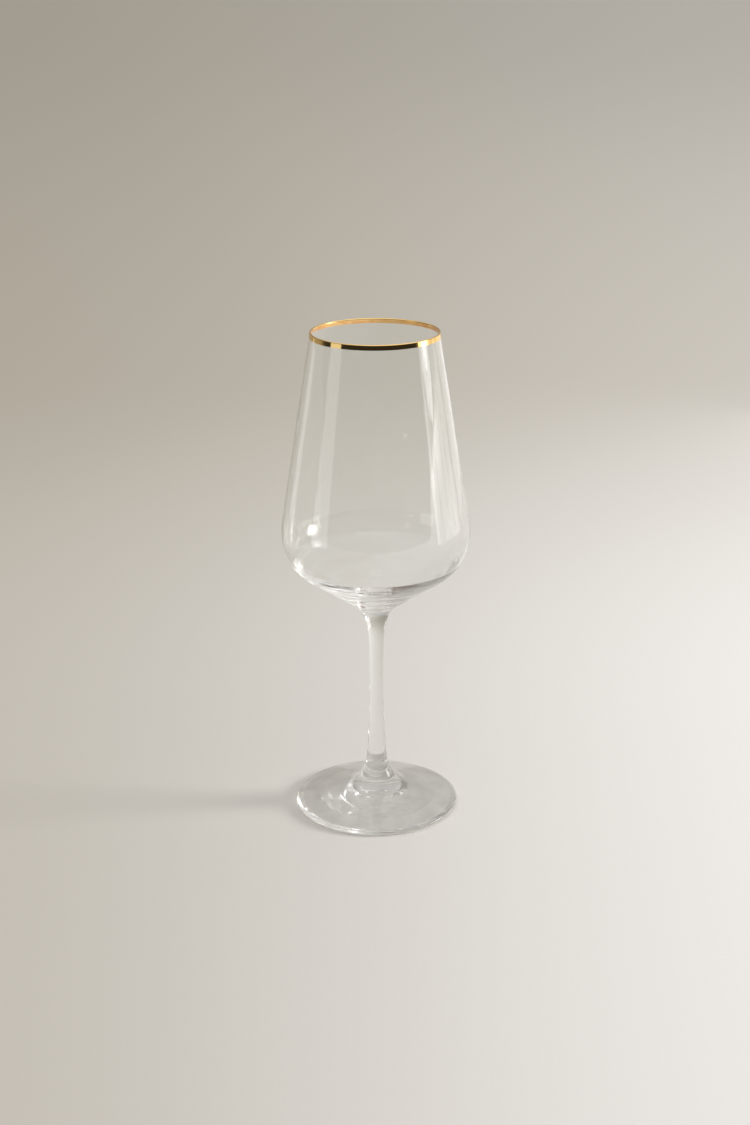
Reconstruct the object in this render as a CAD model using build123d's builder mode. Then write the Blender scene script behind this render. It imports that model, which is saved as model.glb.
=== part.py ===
"""A stemmed wine glass with a gold-banded lip, as its four real pieces.

bowl      blown bowl: tapered wall, round belly, thick conical base and solid neck
stem      drawn solid stem with a slim waist, flaring into the bowl's neck
foot      pressed foot: collar, conical plate, eased edge and recessed underside
gold_rim  fired gold band that wraps the lip

Every piece is turned about +Z. The origin is the centre of the plane the foot
rests on. Bowl, stem and foot are fused hot, so they meet face to face.
All sizes are in millimetres, all angles in degrees.
"""
import os
from math import acos, asin, atan2, cos, degrees, hypot, radians, sin, sqrt, tan

from build123d import *

os.makedirs("parts", exist_ok=True)

# ---- Driving dimensions -------------------------------------------------------
# Foot
foot_radius = 37.8  # outside of the edge
foot_edge_thickness = 2.6
foot_edge_bevel = 0.9  # eases the edge above and below
plate_slope = 15.0  # slope of the conical plate
collar_curve = 16.5  # concave sweep from the plate up to the stem
rest_ring_width = 2.7  # flat ring that touches the table
hollow_bevel_slope = 11.0  # the underside rises from the ring to the hollow at this slope
hollow_radius = 26.5  # the shallower cone of the hollow starts here
hollow_slope = 6.0
kick_radius = 9.0  # dimple pushed up under the collar
kick_curve = 24.0

# Stem
stem_length = 71.6  # foot joint to bowl joint
waist_radius = 3.1  # slimmest point
shaft_curve = 490.0  # long, slow curve of the drawn shaft
shaft_top_lean = 2.2  # lean from upright where the shaft becomes the flare
flare_curve = 38.0  # quicker curve below the bowl
stem_top_lean = 21.0  # lean from upright at the bowl joint

# Bowl
bowl_height = 130.9  # bowl joint to the top of the lip
rim_radius = 28.5  # outside of the lip
belly_radius = 42.6  # outside of the widest ring
neck_curve = 8.5  # concave sweep from the stem joint to the base
base_slope = 34.5  # slope of the conical base
belly_curve_below = 23.0  # outline below the widest ring
belly_curve_above = 50.0  # outline above the widest ring
wall = 0.8  # side wall, from the lip down past the widest ring
even_wall_turn = 29.0  # the wall stays even for this much of the belly below the widest ring
inner_base_curve = 10.0  # then the inside turns in more tightly, and the base grows thick
base_taper = 2.5  # the cone inside is flatter than the cone outside by this much
floor_curve = 16.0  # round floor inside, over the neck
lip_bevel = 0.3 * wall  # both edges of the lip are eased by this much

# Gold band
band_height = 2.2  # lip top to the lower edge of the band, outside
band_thickness = 0.1


def sin_of(angle):
    return sin(radians(angle))


def cos_of(angle):
    return cos(radians(angle))


def tan_of(angle):
    return tan(radians(angle))


# ---- Shared outline: stem and foot ----------------------------------------------
# The shaft is one arc, upright at the waist. It leans by shaft_top_lean at its top.
shaft_above_waist = shaft_curve * sin_of(shaft_top_lean)
flare_rise = flare_curve * (sin_of(stem_top_lean) - sin_of(shaft_top_lean))
shaft_below_waist = stem_length - flare_rise - shaft_above_waist
stem_foot_lean = degrees(asin(shaft_below_waist / shaft_curve))
stem_foot_radius = waist_radius + shaft_curve * (1 - cos_of(stem_foot_lean))
shaft_top_radius = waist_radius + shaft_curve * (1 - cos_of(shaft_top_lean))
stem_top_radius = shaft_top_radius + flare_curve * (cos_of(shaft_top_lean) - cos_of(stem_top_lean))

# From the edge inwards: eased edge, conical plate, collar up to the stem.
rest_ring_radius = foot_radius - foot_edge_bevel
plate_foot = (foot_radius - foot_edge_bevel, foot_edge_thickness)
collar_foot_radius = stem_foot_radius + collar_curve * (cos_of(stem_foot_lean) - sin_of(plate_slope))
collar_foot = (
    collar_foot_radius,
    plate_foot[1] + (plate_foot[0] - collar_foot_radius) * tan_of(plate_slope),
)
collar_rise = collar_curve * (cos_of(plate_slope) - sin_of(stem_foot_lean))
foot_joint_height = collar_foot[1] + collar_rise

# Underside, from the rest ring inwards: bevel, shallow hollow, kick.
hollow_bevel_rise = (rest_ring_radius - rest_ring_width - hollow_radius) * tan_of(hollow_bevel_slope)
hollow_edge = (hollow_radius, hollow_bevel_rise)
kick_edge = (kick_radius, hollow_bevel_rise + (hollow_radius - kick_radius) * tan_of(hollow_slope))
kick_turn = degrees(asin(kick_radius / kick_curve))
kick_direction = (-cos_of(kick_turn), sin_of(kick_turn))
bowl_joint_height = foot_joint_height + stem_length

# ---- Shared outline: bowl and gold band -----------------------------------------
# Outside, from the joint up: neck, conical base, belly below and above the widest ring.
base_lean = 90 - base_slope
neck_top = (
    stem_top_radius + neck_curve * (cos_of(stem_top_lean) - cos_of(base_lean)),
    bowl_joint_height + neck_curve * (sin_of(base_lean) - sin_of(stem_top_lean)),
)
base_top_radius = belly_radius - belly_curve_below * (1 - sin_of(base_slope))
base_top = (base_top_radius, neck_top[1] + (base_top_radius - neck_top[0]) * tan_of(base_slope))
widest_height = base_top[1] + belly_curve_below * cos_of(base_slope)

# The straight wall runs down from the lip and is tangent to the belly above the widest ring.
lip_height = bowl_joint_height + bowl_height
belly_centre_above = (belly_radius - belly_curve_above, widest_height)
across, up = rim_radius - belly_centre_above[0], lip_height - belly_centre_above[1]
wall_lean = degrees(atan2(up, across) - acos(belly_curve_above / hypot(across, up)))

# Inside, the belly runs parallel to the outside, then turns in tightly to a flatter cone.
inner_base_slope = base_slope - base_taper
inner_belly_curve = belly_curve_below - wall
even_wall_end = (
    belly_radius - belly_curve_below + inner_belly_curve * cos_of(even_wall_turn),
    widest_height - inner_belly_curve * sin_of(even_wall_turn),
)
inner_base_turn = 90 - inner_base_slope - even_wall_turn
inner_base_top = (
    even_wall_end[0] - inner_base_curve * (cos_of(even_wall_turn) - sin_of(inner_base_slope)),
    even_wall_end[1] - inner_base_curve * (cos_of(inner_base_slope) - sin_of(even_wall_turn)),
)
floor_edge_radius = floor_curve * sin_of(inner_base_slope)
inner_base_fall = (inner_base_top[0] - floor_edge_radius) * tan_of(inner_base_slope)
floor_edge = (floor_edge_radius, inner_base_top[1] - inner_base_fall)


def lip_section(skin):
    """The bevelled lip, grown all round by a skin: outer wall, outer and inner edge of the top, inner wall."""
    top = lip_height + skin
    bevel = lip_bevel + (2 - sqrt(2)) * skin
    outer_top = rim_radius + skin / cos_of(wall_lean) - skin * tan_of(wall_lean)
    inner_top = outer_top - (wall + 2 * skin) / cos_of(wall_lean)
    spread = bevel * tan_of(wall_lean)
    return [
        (outer_top + spread, top - bevel),
        (outer_top - bevel, top),
        (inner_top + bevel, top),
        (inner_top + spread, top - bevel),
    ]


# ---- Foot -----------------------------------------------------------------------
with BuildPart() as foot:
    with BuildSketch(Plane.XZ):
        with BuildLine():
            joint_edge = (stem_foot_radius, foot_joint_height)
            downwards = (sin_of(stem_foot_lean), -cos_of(stem_foot_lean))
            collar = JernArc(joint_edge, downwards, collar_curve, 90 - stem_foot_lean - plate_slope)
            plate = Line(collar @ 1, plate_foot)
            edge_top = (foot_radius, foot_edge_thickness - foot_edge_bevel)
            edge = Polyline(plate_foot, edge_top, (foot_radius, foot_edge_bevel), (rest_ring_radius, 0))
            rest_ring = Line(edge @ 1, (rest_ring_radius - rest_ring_width, 0))
            hollow_bevel = Line(rest_ring @ 1, hollow_edge)
            hollow = Line(hollow_bevel @ 1, kick_edge)
            kick = JernArc(kick_edge, kick_direction, kick_curve, kick_turn)
            Polyline(kick @ 1, (0, foot_joint_height), joint_edge)
        make_face()
    revolve(axis=Axis.Z)
foot.part.label = "foot"
export_step(foot.part, "parts/foot.step")

# ---- Stem -----------------------------------------------------------------------
with BuildPart() as stem:
    with BuildSketch(Plane.XZ):
        with BuildLine():
            joint_edge = (stem_foot_radius, foot_joint_height)
            upwards = (-sin_of(stem_foot_lean), cos_of(stem_foot_lean))
            shaft = JernArc(joint_edge, upwards, shaft_curve, -(stem_foot_lean + shaft_top_lean))
            flare = JernArc(shaft @ 1, shaft % 1, flare_curve, shaft_top_lean - stem_top_lean)
            Polyline(flare @ 1, (0, bowl_joint_height), (0, foot_joint_height), joint_edge)
        make_face()
    revolve(axis=Axis.Z)
stem.part.label = "stem"
export_step(stem.part, "parts/stem.step")

# ---- Bowl -----------------------------------------------------------------------
with BuildPart() as bowl:
    with BuildSketch(Plane.XZ):
        with BuildLine():
            # outside, from the joint up to the lip
            joint_edge = (stem_top_radius, bowl_joint_height)
            outwards = (sin_of(stem_top_lean), cos_of(stem_top_lean))
            neck = JernArc(joint_edge, outwards, neck_curve, stem_top_lean - base_lean)
            base = Line(neck @ 1, base_top)
            belly_below = JernArc(base @ 1, base % 1, belly_curve_below, base_lean)
            belly_above = JernArc(belly_below @ 1, (0, 1), belly_curve_above, wall_lean)
            lip = Polyline(belly_above @ 1, *lip_section(0))
            # inside, from the lip down to the floor
            inner_curve_above = belly_curve_above - wall
            inner_side_foot = (
                belly_centre_above[0] + inner_curve_above * cos_of(wall_lean),
                belly_centre_above[1] + inner_curve_above * sin_of(wall_lean),
            )
            inner_side = Line(lip @ 1, inner_side_foot)
            inner_above = JernArc(inner_side @ 1, inner_side % 1, inner_curve_above, -wall_lean)
            inner_below = JernArc(inner_above @ 1, (0, -1), inner_belly_curve, -even_wall_turn)
            base_turn = JernArc(inner_below @ 1, inner_below % 1, inner_base_curve, -inner_base_turn)
            inner_base = Line(base_turn @ 1, floor_edge)
            floor = JernArc(inner_base @ 1, inner_base % 1, floor_curve, -inner_base_slope)
            Polyline(floor @ 1, (0, bowl_joint_height), joint_edge)
        make_face()
    revolve(axis=Axis.Z)
bowl.part.label = "bowl"
export_step(bowl.part, "parts/bowl.step")

# ---- Gold band ------------------------------------------------------------------
# A skin: up the outside of the wall, over the lip, and down to where the inner wall starts.
band_foot_height = lip_height - band_height
band_foot_radius = rim_radius + band_height * tan_of(wall_lean)
skin_offset = band_thickness / cos_of(wall_lean)
with BuildPart() as gold_rim:
    with BuildSketch(Plane.XZ):
        with BuildLine():
            shown = lip_section(band_thickness)
            fired_on = lip_section(0)
            band_foot = [(band_foot_radius, band_foot_height), (band_foot_radius + skin_offset, band_foot_height)]
            Polyline(*band_foot, *shown, *reversed(fired_on), close=True)
        make_face()
    revolve(axis=Axis.Z)
gold_rim.part.label = "gold_rim"
export_step(gold_rim.part, "parts/gold_rim.step")

print(f"overall height {lip_height + band_thickness:.2f}, widest {2 * belly_radius:.1f}")
print(f"joints at {foot_joint_height:.2f} and {bowl_joint_height:.2f}, wall leans {wall_lean:.2f}")
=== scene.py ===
# %% [markdown]
# # A gilded wine glass
#
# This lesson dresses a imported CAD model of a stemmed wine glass. The real glass is one
# blown bowl, one drawn stem and one pressed foot, fused hot, with a fired gold band over
# the lip. The CAD model is the frame: it says where each piece is and how large. Here each
# piece is turned again as a fine smooth surface, because clear glass shows every facet.

from math import acos, asin, atan2, cos, degrees, hypot, pi, radians, sin, tan

import bpy
import numpy as np
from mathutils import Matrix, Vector


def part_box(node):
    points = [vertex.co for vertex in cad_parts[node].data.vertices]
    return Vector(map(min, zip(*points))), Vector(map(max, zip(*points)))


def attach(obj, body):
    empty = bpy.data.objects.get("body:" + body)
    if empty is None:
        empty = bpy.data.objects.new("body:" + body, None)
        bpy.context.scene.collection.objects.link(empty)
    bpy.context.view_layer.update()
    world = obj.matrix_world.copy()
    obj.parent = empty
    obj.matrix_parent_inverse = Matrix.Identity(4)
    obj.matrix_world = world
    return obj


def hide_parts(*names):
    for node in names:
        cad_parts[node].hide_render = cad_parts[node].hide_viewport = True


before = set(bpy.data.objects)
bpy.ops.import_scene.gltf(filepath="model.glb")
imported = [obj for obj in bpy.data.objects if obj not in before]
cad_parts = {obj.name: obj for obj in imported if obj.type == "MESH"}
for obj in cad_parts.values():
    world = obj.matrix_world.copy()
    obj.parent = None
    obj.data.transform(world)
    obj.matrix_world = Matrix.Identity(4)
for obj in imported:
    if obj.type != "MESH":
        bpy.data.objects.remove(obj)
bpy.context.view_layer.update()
mm = 0.001


def in_mm(*lengths):
    """Lengths in millimetres, rounded for print."""
    return [round(float(length) / mm, 2) for length in lengths]


# %% [markdown]
# ## Read the sizes from the frame
#
# Heights and outer radii come from the boxes of the CAD pieces. A radius at a joint isn't
# in a box, so it is measured on the rings of the CAD mesh. What a box can't say, such as
# how tightly the belly curves, is a named value beside the piece that uses it.

# %% Sizes that the frame gives
level_tolerance = 0.01 * mm


def ring_radius(node, height):
    """Largest distance from the axis among the vertices of a CAD node that lie at a height."""
    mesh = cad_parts[node].data
    points = np.empty(3 * len(mesh.vertices), np.float32)
    mesh.vertices.foreach_get("co", points)
    points = points.reshape(-1, 3)
    level = abs(points[:, 2] - height) < level_tolerance
    return float(np.hypot(points[level, 0], points[level, 1]).max())


foot_low, foot_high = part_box("foot")
stem_low, stem_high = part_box("stem")
bowl_low, bowl_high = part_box("bowl")
gold_low, gold_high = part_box("gold_rim")

foot_radius = min(-foot_low.x, foot_high.x)
belly_radius = min(-bowl_low.x, bowl_high.x)
foot_joint, bowl_joint = stem_low.z, stem_high.z
foot_joint_radius = ring_radius("stem", foot_joint)
bowl_joint_radius = ring_radius("stem", bowl_joint)
lip_height = bowl_high.z
gold_thickness = gold_high.z - bowl_high.z
print("heights of the joints and the lip in mm:", in_mm(foot_joint, bowl_joint, lip_height))
print("radii of the joints in mm:", in_mm(foot_joint_radius, bowl_joint_radius))

# %% [markdown]
# ## Walk an outline
#
# A turned piece is half of its section, carried round the axis. The half section could be
# drawn as a Bezier curve, but then its arcs are only nearly round. Here it is walked like
# a path: straight runs and steady bends, with the glass always on the left hand. A walker
# who knows the heading has exact normals for free, and clear glass needs them, because a
# normal that is a degree off bends the light behind it.


# %% The walk
class Outline:
    """A path in the half plane (radius, height). Heading 0 points away from the axis, 90 up.

    Each step makes one band of faces, and finish is the number of that band's finish.
    """

    def __init__(self, radius, height, heading):
        self.points = [np.array([[radius, height]])]
        self.headings = [np.array([float(heading)])]
        self.finishes = []

    @property
    def end(self):
        """The point reached so far."""
        return self.points[-1][-1]

    @property
    def heading(self):
        """The heading at that point, in degrees."""
        return self.headings[-1][-1]

    @property
    def walked(self):
        """The distance walked so far."""
        return self.rows()[2][-1]

    def add(self, points, headings, finish):
        """Puts points and their headings at the end of the path."""
        self.points.append(points)
        self.headings.append(headings)
        self.finishes += [finish] * len(points)

    def bend(self, radius, turn, steps, finish=0):
        """Arc that turns by an angle, to the left if it is above 0.

        Point = start + side times radius times (sin a - sin s, cos s - cos a), where s is the
        first heading, a is the heading at the point, and side is 1 to the left, -1 to the right.
        """
        start, side = radians(self.heading), np.sign(turn)
        angle = start + np.linspace(0, radians(turn), steps + 1)[1:]
        across = radius * side * (np.sin(angle) - sin(start))
        up = -radius * side * (np.cos(angle) - cos(start))
        self.add(self.end + np.stack([across, up], 1), np.degrees(angle), finish)

    def run(self, length, steps, finish=0):
        """Straight run along the heading, cut in equal steps."""
        along = np.linspace(0, length, steps + 1)[1:, None]
        direction = np.array([cos(radians(self.heading)), sin(radians(self.heading))])
        self.add(self.end + along * direction, np.full(steps, self.heading), finish)

    def run_to_radius(self, radius, steps, finish=0):
        """Straight run that ends at a distance from the axis."""
        self.run((radius - self.end[0]) / cos(radians(self.heading)), steps, finish)

    def run_to_height(self, height, steps, finish=0):
        """Straight run that ends at a height."""
        self.run((height - self.end[1]) / sin(radians(self.heading)), steps, finish)

    def fold(self, width, finish=0):
        """One step to the left by a width, with the heading turned right round."""
        left = np.array([[-sin(radians(self.heading)), cos(radians(self.heading))]])
        self.add(self.end + width * left, np.array([self.heading - 180]), finish)

    def rows(self):
        """All points, all headings in radians, and the distance walked to each point."""
        points, headings = np.concatenate(self.points), np.radians(np.concatenate(self.headings))
        steps = np.hypot(*np.diff(points, axis=0).T)
        return points, headings, np.concatenate([[0], np.cumsum(steps)])


quarter = Outline(0, 0, 0)
quarter.bend(1, 90, steps=8)
print("a quarter bend of radius 1 from (0, 0) ends at", quarter.end.round(6))

# %% [markdown]
# ## Turn an outline into a grid of points
#
# A Screw modifier would turn the outline too, but then its normals come from the facets. A
# grid of rows and spokes is as short to write, and each point takes the exact normal: the
# heading turned a quarter to the right. A swell lifts the surface along that normal, and
# its slope tilts the normal to match.

# %% The turned grid
spokes = 256
spoke_step = 2 * pi / spokes
spoke_angles = np.arange(spokes) * spoke_step
least_radius = 0.01 * mm


def turned_grid(outline, swell):
    """Point (row, spoke) = (r cos a, r sin a, z) + swell times the normal, where (r, z) is the row's point.

    swell is None or a function of the distance walked and the angle that gives a height in
    metres. The normal leans back by the swell's slope along the row and round the axis.
    """
    points, headings, walked = outline.rows()
    radius, height = points[:, 0, None], points[:, 1, None]
    angle = spoke_angles[None, :]
    around = np.stack([np.cos(angle), np.sin(angle), np.zeros_like(angle)], -1)
    sideways = np.stack([-np.sin(angle), np.cos(angle), np.zeros_like(angle)], -1)
    upright = np.array([0.0, 0.0, 1.0])
    normal = np.sin(headings)[:, None, None] * around - np.cos(headings)[:, None, None] * upright
    forward = np.cos(headings)[:, None, None] * around + np.sin(headings)[:, None, None] * upright
    surface = radius[..., None] * around + height[..., None] * upright
    if swell is not None:
        lift = swell(walked[:, None], angle) * np.ones_like(radius)
        slope = np.gradient(lift, walked, axis=0)
        twist = (np.roll(lift, -1, 1) - np.roll(lift, 1, 1)) / (2 * spoke_step)
        surface = surface + lift[..., None] * normal
        normal = normal - slope[..., None] * forward
        normal = normal - (twist / np.maximum(radius, least_radius))[..., None] * sideways
        normal = normal / np.linalg.norm(normal, axis=-1, keepdims=True)
    return surface, normal


print(f"{spokes} spokes, {degrees(spoke_step):.2f} degrees apart")

# %% [markdown]
# ## Close the grid and fill a mesh
#
# Quads go between the rows. A solid piece is closed at both ends by a fan round a point on
# the axis, and a band is closed by joining its last row to its first. The mesh could be
# built face by face with bmesh, but whole arrays go in with one call each, which is faster
# and keeps the order of the vertices plain.


# %% The closed piece
def turned(name, outline, finishes, caps=(0, 0), loop=False, swell=None):
    """Quad (row, spoke) joins that point, the next spoke's, and the same two in the next row.

    caps gives the finishes of the fans that close the ends. A loop has no fans: its last
    row is joined to its first.
    """
    surface, normal = turned_grid(outline, swell)
    rows = len(surface)
    index = np.arange(rows * spokes).reshape(rows, spokes)
    ahead = np.roll(index, -1, 1)
    quads = np.stack([index[:-1], ahead[:-1], ahead[1:], index[1:]], -1).reshape(-1, 4)
    quad_finish = np.repeat(outline.finishes, spokes)
    vertices, normals = surface.reshape(-1, 3), normal.reshape(-1, 3)
    if loop:
        seam = np.stack([index[-1], ahead[-1], ahead[0], index[0]], -1)
        quads = np.concatenate([quads, seam])
        quad_finish = np.concatenate([quad_finish, np.full(spokes, outline.finishes[-1])])
        fans, fan_finish = np.empty((0, 3), int), np.empty(0, int)
    else:
        points, headings, _ = outline.rows()
        low_pole, high_pole = len(vertices), len(vertices) + 1
        poles = [[0, 0, points[0, 1]], [0, 0, points[-1, 1]]]
        pole_normals = [[0, 0, -cos(headings[0])], [0, 0, -cos(headings[-1])]]
        vertices = np.concatenate([vertices, poles])
        normals = np.concatenate([normals, pole_normals])
        low = np.stack([ahead[0], index[0], np.full(spokes, low_pole)], -1)
        high = np.stack([index[-1], ahead[-1], np.full(spokes, high_pole)], -1)
        fans, fan_finish = np.concatenate([low, high]), np.repeat(caps, spokes)
    face_finish = np.concatenate([quad_finish, fan_finish])
    return filled_mesh(name, vertices, normals, quads, fans, face_finish, finishes)


def filled_mesh(name, vertices, normals, quads, fans, face_finish, finishes):
    """Puts vertex, face and normal arrays into one smooth mesh and gives each face its finish."""
    mesh = bpy.data.meshes.new(name)
    corners = np.concatenate([quads.ravel(), fans.ravel()]).astype(np.int32)
    sizes = np.concatenate([np.full(len(quads), 4), np.full(len(fans), 3)])
    starts = np.concatenate([[0], np.cumsum(sizes)[:-1]])
    mesh.vertices.add(len(vertices))
    mesh.vertices.foreach_set("co", vertices.astype(np.float32).ravel())
    mesh.loops.add(len(corners))
    mesh.loops.foreach_set("vertex_index", corners)
    mesh.polygons.add(len(sizes))
    mesh.polygons.foreach_set("loop_start", starts.astype(np.int32))
    for finish in finishes:
        mesh.materials.append(finish)
    mesh.polygons.foreach_set("material_index", face_finish.astype(np.int32))
    mesh.update(calc_edges=True)
    mesh.polygons.foreach_set("use_smooth", np.ones(len(sizes), bool))
    mesh.normals_split_custom_set_from_vertices(normals.tolist())
    piece = bpy.data.objects.new(name, mesh)
    bpy.context.scene.collection.objects.link(piece)
    print(f"{name}: {len(vertices)} vertices, {2 * len(quads) + len(fans)} triangles")
    return piece


# %% [markdown]
# ## Write shader maths as sums
#
# A finish is a small graph of nodes, and a graph made by hand takes a line for each link.
# Here one class holds an output socket and adds a Math node for each sum on it, so that
# the graph reads as a formula.


# %% A value in a finish
class Value:
    """An output socket of a finish. A sum on it adds a Math node."""

    def __init__(self, finish, output):
        self.finish, self.output = finish, output

    def maths(self, operation, *values):
        """A Math node on two values, each a number or a socket."""
        return self.finish.node("ShaderNodeMath", {"operation": operation}, dict(enumerate(values)))

    def __add__(self, other):
        return self.maths("ADD", self, other)

    def __sub__(self, other):
        return self.maths("SUBTRACT", self, other)

    def __rsub__(self, other):
        return self.maths("SUBTRACT", other, self)

    def __mul__(self, other):
        return self.maths("MULTIPLY", self, other)

    def __truediv__(self, other):
        return self.maths("DIVIDE", self, other)

    def __rtruediv__(self, other):
        return self.maths("DIVIDE", other, self)

    __radd__, __rmul__ = __add__, __mul__

    def between(self, low, high):
        """0 below low, 1 above high, and a smooth step from one to the other."""
        settings = {"interpolation_type": "SMOOTHSTEP"}
        return self.finish.node("ShaderNodeMapRange", settings, {0: self, 1: low, 2: high})

    def colours(self, low, high):
        """Colour that goes from low to high as the value goes from 0 to 1.

        Each end is a colour of three numbers or a socket.
        """
        ends = [end if isinstance(end, Value) else (*end, 1) for end in (low, high)]
        sockets = {"Factor_Float": self, "A_Color": ends[0], "B_Color": ends[1]}
        return self.finish.node("ShaderNodeMix", {"data_type": "RGBA"}, sockets, "Result_Color")


# %% [markdown]
# ## Make the other nodes in one place
#
# Every node that isn't a sum comes from one method. It takes the node's type, its settings,
# and what goes into its sockets: a number stays on the socket, and a value is linked to it.
# The few nodes that most finishes share, such as noise, have a short method of their own.


# %% A finish
class Finish:
    """A material or world and the nodes that make it."""

    def __init__(self, owner):
        self.owner = owner
        owner.use_nodes = True
        self.tree = owner.node_tree
        self.tree.nodes.clear()

    def node(self, kind, settings=None, sockets=None, output=0):
        """Adds a node and gives the value at one of its outputs.

        Settings are set first. Sockets go by name, identifier or number.
        """
        made = self.tree.nodes.new(kind)
        for key, setting in (settings or {}).items():
            setattr(made, key, setting)
        for key, given in (sockets or {}).items():
            socket = self.find(made.inputs, key)
            if isinstance(given, Value):
                self.tree.links.new(given.output, socket)
            else:
                socket.default_value = given
        return Value(self, self.find(made.outputs, output)) if made.outputs else None

    @staticmethod
    def find(sockets, key):
        """A socket by its number, or by its identifier or name."""
        if isinstance(key, int):
            return sockets[key]
        return next(s for s in sockets if key in (s.identifier, s.name))

    def part(self, vector, axis):
        """A vector's part along the X, Y or Z axis."""
        return self.node("ShaderNodeSeparateXYZ", None, {0: vector}, axis)

    def position(self):
        """The point on the piece, in metres."""
        return self.node("ShaderNodeTexCoord", output="Object")

    def along(self, axis):
        """How far the point on the piece lies along an axis, in metres."""
        return self.part(self.position(), axis)

    def noise(self, waves, detail=2.0, roughness=0.5, offset=(0, 0, 0)):
        """Soft noise from 0 to 1. Waves are how many go into a metre along x, y and z."""
        placing = {"Vector": self.position(), "Scale": waves, "Location": offset}
        placed = self.node("ShaderNodeMapping", None, placing)
        sockets = {"Vector": placed, "Scale": 1.0, "Detail": detail, "Roughness": roughness}
        return self.node("ShaderNodeTexNoise", None, sockets)

    def bump(self, height, distance):
        """A normal that leans with a height field. The field's 1 stands for a distance in metres."""
        return self.node("ShaderNodeBump", None, {"Height": height, "Strength": 1.0, "Distance": distance})

    def principled(self, sockets):
        """Adds the Principled shader and the output, and gives the finished material."""
        shader = self.node("ShaderNodeBsdfPrincipled", None, sockets)
        return self.finished(shader, "ShaderNodeOutputMaterial")

    def finished(self, shader, output):
        """Adds the output, and gives the finished material or world."""
        self.node(output, None, {"Surface": shader})
        print(f"{self.owner.name}: {len(self.tree.nodes)} nodes")
        return self.owner


# %% [markdown]
# ## Clear glass
#
# Clear glass is one shader with full transmission. A mix of a mirror and a see-through
# shader would be quicker to render, but it doesn't bend light, and bent light is most of
# what a glass shows. What makes it real is what is wrong with it: slow waves left from
# blowing, faint cords along a drawn stem, and a breath of polish marks. They go into the
# normal, the tint and the roughness, at a strength that is only seen where the glass is
# thick or its surface is seen edge on.

# %% The glass finishes
glass_index = 1.52
wave_fade = 15 * mm
haze_waves, haze_offset = (110, 110, 110), (3, 1, 2)


def clear_glass(name, tint, waves, wave_depth, detail=1.0, polish=0.0, mottle=0.006, from_height=None):
    """Clear glass. Tint = tint + mottle times haze, roughness = polish times haze, normal from waves.

    Waves are how many go into a metre along x, y and z. They fade in upwards from a height,
    if one is given.
    """
    finish = Finish(bpy.data.materials.new(name))
    wave = finish.noise(waves, detail)
    if from_height is not None:
        wave = wave * finish.along("Z").between(from_height, from_height + wave_fade)
    haze = finish.noise(haze_waves, detail=4.0, roughness=0.6, offset=haze_offset)
    paler = [min(1, part + mottle) for part in tint]
    sockets = {
        "Base Color": haze.between(0.35, 0.65).colours(tint, paler),
        "Roughness": haze.between(0.45, 0.8) * polish,
        "IOR": glass_index,
        "Transmission Weight": 1.0,
        "Normal": finish.bump(wave, wave_depth),
    }
    return finish.principled(sockets)


near_white, painted_shade_grey = (0.985, 0.99, 0.985), (0.88, 0.883, 0.88)
blown_glass = clear_glass(
    "blown_glass", near_white, waves=(400, 400, 4), wave_depth=0.04 * mm, polish=0.01, from_height=125 * mm
)
drawn_glass = clear_glass("drawn_glass", near_white, waves=(300, 300, 60), wave_depth=0.013 * mm)
# The foot's grey tint is painted shade that darkens it, and its strong mottle paints paler swirls of light
# into it.
pressed_glass = clear_glass(
    "pressed_glass",
    painted_shade_grey,
    waves=(130, 130, 130),
    wave_depth=0.08 * mm,
    detail=3.0,
    polish=0.01,
    mottle=0.28,
)

# %% [markdown]
# ## The joints inside the glass
#
# Stem, bowl and foot are fused, so no surface is left inside the glass. The pieces could
# be left open there, but each is closed, so that it can be used alone. The discs that
# close it take a finish that light passes straight through.

# %% The joint finish
joint = Finish(bpy.data.materials.new("fused_joint"))
fused_joint = joint.principled({"Base Color": (1, 1, 1, 1), "Alpha": 0.0})

# %% [markdown]
# ## Fired gold
#
# The band is liquid gold, brushed on while the glass turns, and fired. Outside it is a
# bright mirror with fine brush streaks round the glass. Through the glass the same film
# shows its other side, which is warmer and softer. One finish with a plain gold colour
# would look like paint, so each side has two colours that wander into each other.

# %% The gold finishes
patch_waves, streak_waves = (160, 160, 400), (30, 30, 9000)
streak_depth = 0.0004 * mm


def fired_gold(name, thick, thin, polish):
    """Gold whose colour wanders between a thick and a thin film, with streaks round the glass."""
    finish = Finish(bpy.data.materials.new(name))
    patches = finish.noise(patch_waves)
    streaks = finish.noise(streak_waves, detail=3.0, roughness=0.6)
    sockets = {
        "Base Color": patches.between(0.35, 0.7).colours(thick, thin),
        "Metallic": 1.0,
        "Roughness": polish + 0.05 * patches,
        "Normal": finish.bump(streaks, streak_depth),
    }
    return finish.principled(sockets)


bright_gold = fired_gold("bright_gold", thick=(0.95, 0.66, 0.27), thin=(0.93, 0.60, 0.22), polish=0.06)
reverse_gold = fired_gold("reverse_gold", thick=(0.95, 0.60, 0.24), thin=(0.86, 0.44, 0.13), polish=0.13)

# %% [markdown]
# ## The foot
#
# A gob of glass is pressed and spun into a shallow cone, with a collar that sweeps up to
# the stem. It stands on a flat ring, and the rest of its underside is hollowed: a bevel, a
# shallow cone, and a small dome in the middle. All of that is seen from above, bent by the
# glass, so the underside is walked as carefully as the top.

# %% The foot's shape
plate_slope = 15
collar_curve = 16.5 * mm
rest_ring_width, rest_ring_inset = 2.7 * mm, 0.9 * mm
bevel_slope, bevel_ease = 11, 0.8 * mm
hollow_radius, hollow_slope, hollow_ease = 26.5 * mm, 6, 6 * mm
dome_radius, dome_curve, dome_ease = 9 * mm, 24 * mm, 0.8 * mm
pole_gap = 0.3 * mm

waist_radius = 3.1 * mm
shaft_curve = 490 * mm
foot_lean = degrees(acos(1 - (foot_joint_radius - waist_radius) / shaft_curve))

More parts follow.
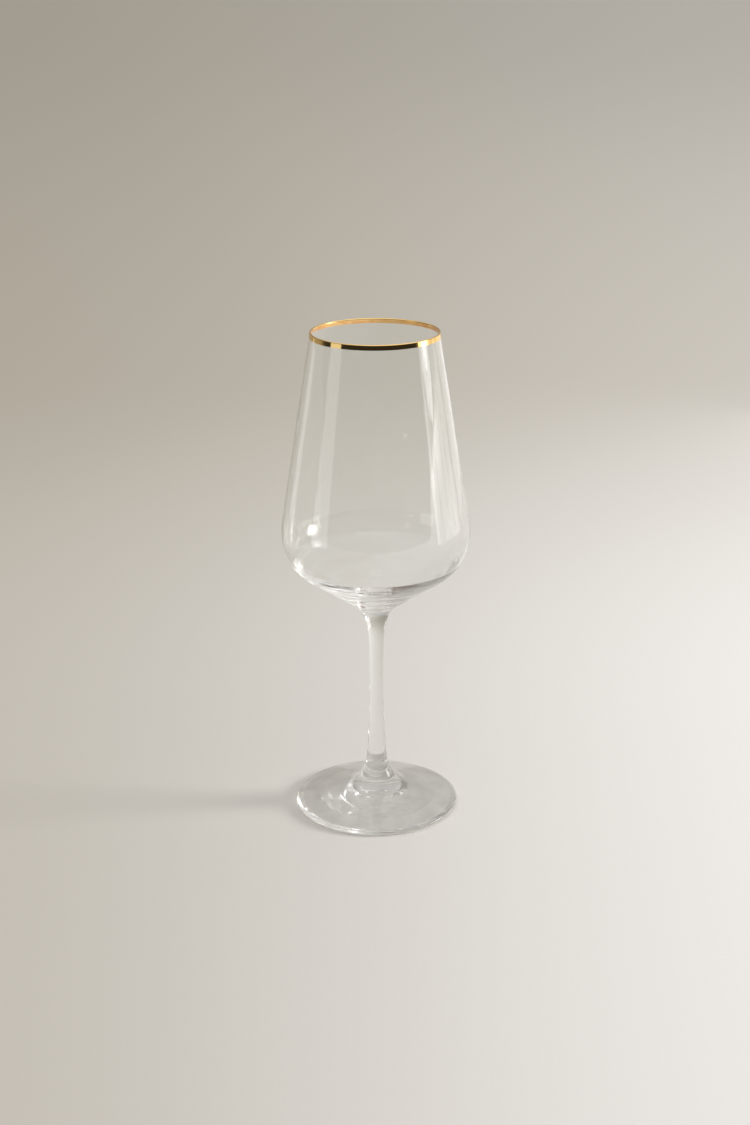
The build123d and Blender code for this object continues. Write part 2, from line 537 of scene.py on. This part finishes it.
slope = radians(plate_slope)
collar_foot_radius = foot_joint_radius + collar_curve * (cos(radians(foot_lean)) - sin(slope))
collar_foot_height = foot_joint - collar_curve * (cos(slope) - sin(radians(foot_lean)))
edge_height = collar_foot_height - (foot_radius - collar_foot_radius) * tan(slope)
edge_round = edge_height / (1 + 1 / cos(slope) - tan(slope))

rest_ring_inner = foot_radius - rest_ring_inset - rest_ring_width
dome_turn = degrees(asin(dome_radius / dome_curve))
dome_height = dome_curve * (1 - cos(radians(dome_turn)))
hollow_fall = (hollow_radius - dome_radius) * tan(radians(hollow_slope))
bevel_fall = (rest_ring_inner - hollow_radius) * tan(radians(bevel_slope))
under_height = bevel_fall + (hollow_fall + dome_height)
print("edge round, and height of the underside's top, in mm:", in_mm(edge_round, under_height))

# %% [markdown]
# The walk starts under the stem, goes out along the underside, round the edge, and back
# up over the plate and the collar to the joint.

# %% Turn the foot
foot_outline = Outline(pole_gap, under_height, 0)
foot_outline.bend(dome_curve, -dome_turn, steps=30)
foot_outline.bend(dome_ease, dome_turn - hollow_slope, steps=8)
bevel_start = hollow_radius - hollow_ease * tan(radians((bevel_slope - hollow_slope) / 2))
foot_outline.run_to_radius(bevel_start, steps=24)
foot_outline.bend(hollow_ease, hollow_slope - bevel_slope, steps=8)
foot_outline.run_to_height(bevel_ease * (1 - cos(radians(bevel_slope))), steps=16)
foot_outline.bend(bevel_ease, bevel_slope, steps=4)
foot_outline.run_to_radius(foot_radius - edge_round, steps=4)
foot_outline.bend(edge_round, 180 - plate_slope, steps=24)
foot_outline.run_to_radius(collar_foot_radius, steps=36)
foot_outline.bend(collar_curve, -(90 - foot_lean - plate_slope), steps=44)
print("walk ends at", in_mm(*foot_outline.end), "and the joint is at", in_mm(foot_joint_radius, foot_joint))
foot = turned("pressed_foot", foot_outline, [pressed_glass, fused_joint], caps=(0, 1))

# %% [markdown]
# ## The stem
#
# The stem is drawn out of the bowl's glass while it is soft, so it is slimmest near its
# middle and flares at both ends. A cylinder with a taper would miss that waist, and two
# arcs that meet on one heading give it.

# %% Turn the stem
shaft_top_lean = 2.2
flare_curve = 38 * mm
stem_top_lean = 21
stem_outline = Outline(foot_joint_radius, foot_joint, 90 + foot_lean)
stem_outline.bend(shaft_curve, -(foot_lean + shaft_top_lean), steps=60)
stem_outline.bend(flare_curve, -(stem_top_lean - shaft_top_lean), steps=30)
print("walk ends at", in_mm(*stem_outline.end), "and the joint is at", in_mm(bowl_joint_radius, bowl_joint))
stem = turned("drawn_stem", stem_outline, [drawn_glass, fused_joint], caps=(1, 1))

# %% [markdown]
# ## The bowl
#
# The bowl is blown. Its wall is thin and nearly straight, its belly is round, and its base
# is a thick cone. The wall could be a copy of the outside, moved inwards, but then the
# base would be as thin as the wall. So the inside is walked with its own bend and slope.

# %% Walk the bowl
neck_curve = 8.5 * mm
base_slope = 34.5
belly_below, belly_above = 23 * mm, 50 * mm
wall = 0.8 * mm
parallel_turn, base_curve, inner_slope = 29, 10 * mm, 32
floor_curve, short_of_axis = 16 * mm, 0.97
rim_radius = 28.5 * mm

belly_edge = belly_radius - belly_below * (1 - sin(radians(base_slope)))
bowl_outline = Outline(bowl_joint_radius, bowl_joint, 90 - stem_top_lean)
bowl_outline.bend(neck_curve, -(90 - stem_top_lean - base_slope), steps=16)
bowl_outline.run_to_radius(belly_edge, steps=60)
bowl_outline.bend(belly_below, 90 - base_slope, steps=48)
widest_height = bowl_outline.end[1]
belly_centre = belly_radius - belly_above
across, up = rim_radius - belly_centre, lip_height - widest_height
wall_lean = degrees(atan2(up, across) - acos(belly_above / hypot(across, up)))
bowl_outline.bend(belly_above, wall_lean, steps=8)
lip_round = wall / 2
outside_top = lip_height - lip_round + lip_round * sin(radians(wall_lean))
bowl_outline.run_to_height(outside_top, steps=24)
bowl_outline.bend(lip_round, 180, steps=16)
inner_above = belly_above - wall
bowl_outline.run_to_height(widest_height + inner_above * sin(radians(wall_lean)), steps=24)
bowl_outline.bend(inner_above, -wall_lean, steps=8)
bowl_outline.bend(belly_below - wall, -parallel_turn, steps=30)
rings_from = bowl_outline.walked
bowl_outline.bend(base_curve, -(90 - inner_slope - parallel_turn), steps=30)
bowl_outline.run_to_radius(floor_curve * sin(radians(inner_slope)), steps=90)
rings_to = bowl_outline.walked
bowl_outline.bend(floor_curve, -inner_slope * short_of_axis, steps=20)
print("walk ends at", in_mm(*bowl_outline.end), f"and the wall leans by {wall_lean:.2f} degrees")

# %% [markdown]
# ## The rings in the bowl's base
#
# Where the bowl was shaped while it turned, soft rings are left inside its base. A bump in
# the finish would show them too, but only a real swell bends the light in the thick glass
# and stays in the mesh. A second, finer wave keeps the rings from being even.

# %% Turn the bowl
ring_spacing, ring_depth = 9.5 * mm, 0.085 * mm
fade_in, fade_out = 20, 6
uneven_depth, uneven_rate = 0.15, 2.3
strong_side, side_angle = 0.2, 0.5


def tool_rings(distance, angle):
    """Height = depth times the fades times (sin p + 0.15 sin(2.3 p + angle)), p being the rings' phase.

    A factor of 1 + 0.2 sin(angle - 0.5) makes the rings a little stronger on one side.
    """
    along = np.clip((distance - rings_from) / (rings_to - rings_from), 0, 1)
    envelope = np.clip(fade_in * along, 0, 1) * np.clip(fade_out * (1 - along), 0, 1)
    phase = 2 * pi * distance / ring_spacing
    wave = np.sin(phase) + uneven_depth * np.sin(uneven_rate * phase + angle)
    return ring_depth * envelope * wave * (1 + strong_side * np.sin(angle - side_angle))


print(f"{(rings_to - rings_from) / ring_spacing:.1f} rings over {(rings_to - rings_from) / mm:.1f} mm")
bowl = turned("blown_bowl", bowl_outline, [blown_glass, fused_joint], caps=(1, 0), swell=tool_rings)

# %% [markdown]
# ## The gold band
#
# A real film is far thinner than the wall. The lip's faces could simply be given a gold
# finish, but the band is a piece of its own here: a thin closed skin over the lip. Its
# inner face lies a hair inside the glass, so that light inside the wall meets gold and
# not a gap.

# %% Turn the band
lean = radians(wall_lean)
band_height = gold_high.z - gold_thickness - gold_low.z
film = 0.9 * gold_thickness
bed, hem = 0.02 * mm, 0.1 * mm
gold_outline = Outline(rim_radius + band_height * tan(lean) + film / cos(lean), gold_low.z, 90 + wall_lean)
gold_outline.run_to_height(outside_top, steps=10)
gold_outline.bend(lip_round + film, 180, steps=24)
gold_outline.run(hem, steps=1)
gold_outline.fold(film + bed)
gold_outline.run(hem, steps=1, finish=1)
gold_outline.bend(lip_round - bed, -180, steps=24, finish=1)
gold_outline.run_to_height(gold_low.z, steps=10, finish=1)
print("band height and film in mm:", in_mm(band_height, film))
gold_band = turned("gold_band", gold_outline, [bright_gold, reverse_gold], loop=True)

# %% [markdown]
# ## Put the pieces on the frame
#
# Each piece was turned at its own place, so none has to be moved. Each one rides the root
# body and takes the place of one CAD piece.

# %% Put the pieces on the frame
slots = ((foot, "clear_glass"), (stem, "clear_glass"), (bowl, "clear_glass"), (gold_band, "gold_band"))
for piece, slot in slots:
    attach(piece, "root")
for piece, node in ((foot, "foot"), (stem, "stem"), (bowl, "bowl"), (gold_band, "gold_rim")):
    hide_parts(node)
    print(f"{piece.name} stands for the CAD's {node}")

# %% [markdown]
# ## The floor
#
# One sheet of matt paper is both floor and backdrop. A curved sweep would do the same, but
# a flat sheet that reaches far back shows no edge from the front either. Painted shade is in
# the paper's colour: it runs from a pale to a shaded colour, and the painted shade grows to
# the left and into the distance, each by its own share, and the two shares multiply, as the
# falloff of a lamp does. A fine noise gives the paper its grain.

# %% The paper
pale_paper, shaded_paper, paper_speck = (0.78, 0.755, 0.725), (0.36, 0.32, 0.24), (0.2, 0.19, 0.17)
shade_to_left, shade_with_distance = 0.6, 0.5
speck_share = 0.02

floor_finish = Finish(bpy.data.materials.new("paper_floor"))
across, away = floor_finish.along("X"), floor_finish.along("Y")
leftward = 1 - (across / (away + 1.0)).between(-0.25, 0.25)
distant = away.between(0.1, 0.9)
# Painted light and shade: the paper is palest near and on the right, and darker to the left and into the
# distance.
painted_light = (1 - shade_to_left * leftward) * (1 - shade_with_distance * distant)
paper = painted_light.colours(shaded_paper, pale_paper)
grain = floor_finish.noise((700, 700, 700), detail=3.0, roughness=0.6)
paper = (grain.between(0.3, 0.7) * speck_share).colours(paper, paper_speck)
paper_floor = floor_finish.principled({"Base Color": paper, "Roughness": 0.9, "Specular IOR Level": 0.1})

# %% [markdown]
# The sheet lies a hair below the foot, so that no face of the one lies in a face of the
# other. It isn't part of the glass, and is staged.

# %% The floor
side_reach, back_reach, front_reach = 14.0, 14.0, 0.9
hair = 0.05 * mm
corners = [
    (-side_reach, -front_reach, 0),
    (side_reach, -front_reach, 0),
    (side_reach, back_reach, 0),
    (-side_reach, back_reach, 0),
]
floor_mesh = bpy.data.meshes.new("floor")
floor_mesh.from_pydata(corners, [], [(0, 1, 2, 3)])
floor_mesh.materials.append(paper_floor)
floor = bpy.data.objects.new("floor", floor_mesh)
floor.location.z = -hair
bpy.context.scene.collection.objects.link(floor)
print(f"floor: {2 * side_reach:.0f} m wide, {back_reach + front_reach:.1f} m deep")

# %% [markdown]
# ## Lamps that face the glass
#
# Clear glass shows little but what it reflects, so each lamp is placed for its reflection.
# A lamp is given by the direction it stands in, its distance, and how wide it looks from
# the glass, in degrees. Its power follows from its radiance, so that a lamp can be moved or
# widened and its reflection stays as bright.


# %% A lamp towards the glass
def facing_lamp(name, shape, width, tall, azimuth, elevation, aim_height, distance, radiance):
    """Area lamp at aim + distance times direction, turned to the aim, a point on the glass's axis.

    Azimuth 0 is the camera's side and 90 is on its right. Power = pi times radiance times area.
    """
    area = width * tall * (pi / 4 if shape == "DISK" else 1)
    lamp = bpy.data.lights.new(name, "AREA")
    lamp.shape, lamp.size, lamp.size_y = shape, width, tall
    lamp.energy = radiance * pi * area
    side, rise = radians(azimuth), radians(elevation)
    towards = Vector((sin(side) * cos(rise), -cos(side) * cos(rise), sin(rise)))
    lamp_object = bpy.data.objects.new(name, lamp)
    lamp_object.location = Vector((0, 0, aim_height)) + towards * distance
    lamp_object.rotation_mode = "QUATERNION"
    lamp_object.rotation_quaternion = (-towards).to_track_quat("-Z", "Y")
    lamp_object.visible_camera = False
    bpy.context.scene.collection.objects.link(lamp_object)
    print(f"{name}: {lamp.energy:.2f} W, {distance:.2f} m away")
    return lamp_object


def width_of(spread, distance):
    """Width that fills an angle in degrees from a distance: 2 times distance times tan(half the angle)."""
    return 2 * distance * tan(radians(spread / 2))


print("10 degrees at 0.78 m, in mm:", in_mm(width_of(10, 0.78)))

# %% [markdown]
# ## Upright panels
#
# Upright panels beside the glass give the long pale stripes on its wall. One large panel
# would give one flat stripe, so the window on the right is several, and the gaps between
# them give the dark lines.


# %% The panels
def soft_panel(name, azimuth, spread, bottom, top, radiance, distance=0.78):
    """Upright lamp from a bottom height to a top height. Spread is its width in degrees."""
    width = width_of(spread, distance)
    middle, tall = (bottom + top) / 2, top - bottom
    facing_lamp(name, "RECTANGLE", width, tall, azimuth, 0, middle, distance, radiance)


tall_panel = 0.32
window_panes = ((83.5, 7), (94, 10), (104.5, 8), (115.5, 11))
for number, (azimuth, spread) in enumerate(window_panes):
    soft_panel(f"window_right_{number}", azimuth, spread, 0.0, tall_panel, radiance=0.6)
soft_panel("window_right_back", 140, 30, bottom=0.0, top=0.19, radiance=0.45)
soft_panel("window_right_high", 130, 20, bottom=0.19, top=0.26, radiance=1.2)
soft_panel("window_edge", 79, 2.5, bottom=0.0, top=tall_panel, radiance=1.6, distance=0.76)
soft_panel("panel_left", -69.5, 21, bottom=0.0, top=tall_panel, radiance=0.85, distance=0.8)
soft_panel("panel_left_back", -124.5, 13, bottom=0.0, top=0.16, radiance=0.5, distance=0.8)

# %% [markdown]
# ## Round keys
#
# Round lamps, each larger and further away than the one before, add up to a highlight with
# a soft edge, which one disc can't give. One last lamp is hidden from the glass and the
# gold. It lights the floor alone, and the glass's long shadow comes from it.

# %% The keys
key_aim = 0.12
key_distance, key_gap = 1.3, 0.02


def round_key(name, azimuth, elevation, distance, spread, radiance):
    """Round lamp that faces the belly. Spread is its width in degrees, seen from there."""
    size = width_of(spread, distance)
    return facing_lamp(name, "DISK", size, size, azimuth, elevation, key_aim, distance, radiance)


for number, spread in enumerate((7, 10, 14, 18, 23)):
    round_key(f"key_{number}", 92.5, 12, key_distance + key_gap * number, spread, radiance=2.1)
shadow_key = round_key("shadow_key", 91, 16, distance=4.0, spread=16, radiance=36)
shadow_key.visible_glossy = shadow_key.visible_transmission = False

# %% [markdown]
# ## The room
#
# The room is drawn by direction, as a painted sky would be. A studio could be modelled
# with walls, but the glass only shows how bright each direction is. The floor is lit, and
# the gold is mirrored, by a light ceiling, grey side walls and a dark wall behind the
# camera, which is why the front of the band looks black. Through the glass the room looks
# plainer: its walls take the colour of the paper, so that the bent view in the bowl's base
# fits the backdrop. The diffuse depth tells a ray that lights the floor from one that the
# camera sees through the glass.

# %% Directions and rays
world = bpy.data.worlds.new("room")
bpy.context.scene.world = world
room = Finish(world)
direction = room.node("ShaderNodeTexCoord", output="Generated")
eastward, northward, rise = (room.part(direction, axis) for axis in "XYZ")
across_wall, across_ceiling = eastward.between(-0.6, 0.6), eastward.between(-0.8, 0.8)
up_wall, up_ceiling = rise.between(0.0, 0.22), rise.between(0.35, 0.85)

camera_ray = room.node("ShaderNodeLightPath", output="Is Camera Ray")
through_ray = room.node("ShaderNodeLightPath", output="Is Transmission Ray")
bounced = room.node("ShaderNodeLightPath", output="Diffuse Depth")
seen = camera_ray + through_ray * (1 - bounced.between(0.4, 0.6))
print("room:", len(room.tree.nodes), "nodes tell where a ray goes and what it is for")

# %% [markdown]
# The camera looks north, so west is on its left. Each pair of colours runs from the west
# to the east. The dark wall in the south, behind the camera, is turned a little, because
# the light comes from the right.

# %% The room's colours
low_wall = across_wall.colours((0.33, 0.3, 0.245), (0.6, 0.565, 0.5))

side_wall = eastward.between(-0.1, 0.55).colours((0.34, 0.32, 0.28), (0.6, 0.59, 0.57))
in_front = (northward + 0.33 * eastward).between(0.07, 0.17)
lit_walls = in_front.colours((0.03, 0.03, 0.03), up_wall.colours(low_wall, side_wall))
lit_ceiling = across_ceiling.colours((0.9, 0.9, 0.92), (1.35, 1.35, 1.35))

seen_wall = across_wall.colours((0.27, 0.25, 0.22), (0.74, 0.72, 0.69))
seen_walls = up_wall.colours(low_wall, seen_wall)
seen_ceiling = across_ceiling.colours((0.38, 0.37, 0.355), (0.66, 0.64, 0.61))

lit, shown = (
    room.node("ShaderNodeBackground", None, {"Color": up_ceiling.colours(walls, ceiling), "Strength": 1.0})
    for walls, ceiling in ((lit_walls, lit_ceiling), (seen_walls, seen_ceiling))
)
either = room.node("ShaderNodeMixShader", None, {0: seen, 1: lit, 2: shown})
room.finished(either, "ShaderNodeOutputWorld")

# %% [markdown]
# ## The camera
#
# The camera stands 0.78 m in front of the glass and 0.39 m above the floor, and looks
# down a little over 19 degrees, so that the lip and the foot both show as ellipses. It is
# half a millimetre left of the middle and rolled by a quarter of a degree, since no real
# camera stands quite true.

# %% The camera
lens, film_width = 58.08, 36
camera_place = (-0.45 * mm, -776.4 * mm, 389.3 * mm)
look_down, roll = 19.21, -0.251
furthest_seen = 100

camera_data = bpy.data.cameras.new("camera")
camera_data.lens, camera_data.sensor_width = lens, film_width
camera_data.clip_end = furthest_seen
camera = bpy.data.objects.new("camera", camera_data)
camera.location = camera_place
camera.rotation_euler = (radians(90 - look_down), 0, 0)
camera.rotation_euler.rotate_axis("Z", radians(roll))
bpy.context.scene.collection.objects.link(camera)
bpy.context.scene.camera = camera
print(f"camera at {in_mm(*camera_place)} mm, {lens} mm lens")

# %% [markdown]
# ## Render settings and the end
#
# Light crosses many skins of glass on its way, so a ray may bounce often, and sharp
# reflections are kept sharp.

# %% Render settings and the end
most_bounces = 96
scene = bpy.context.scene
scene.view_settings.view_transform = "Standard"
scene.cycles.blur_glossy = 0.0
scene.cycles.max_bounces = most_bounces
scene.cycles.transmission_bounces = most_bounces
scene.cycles.glossy_bounces = most_bounces
scene.cycles.transparent_max_bounces = most_bounces
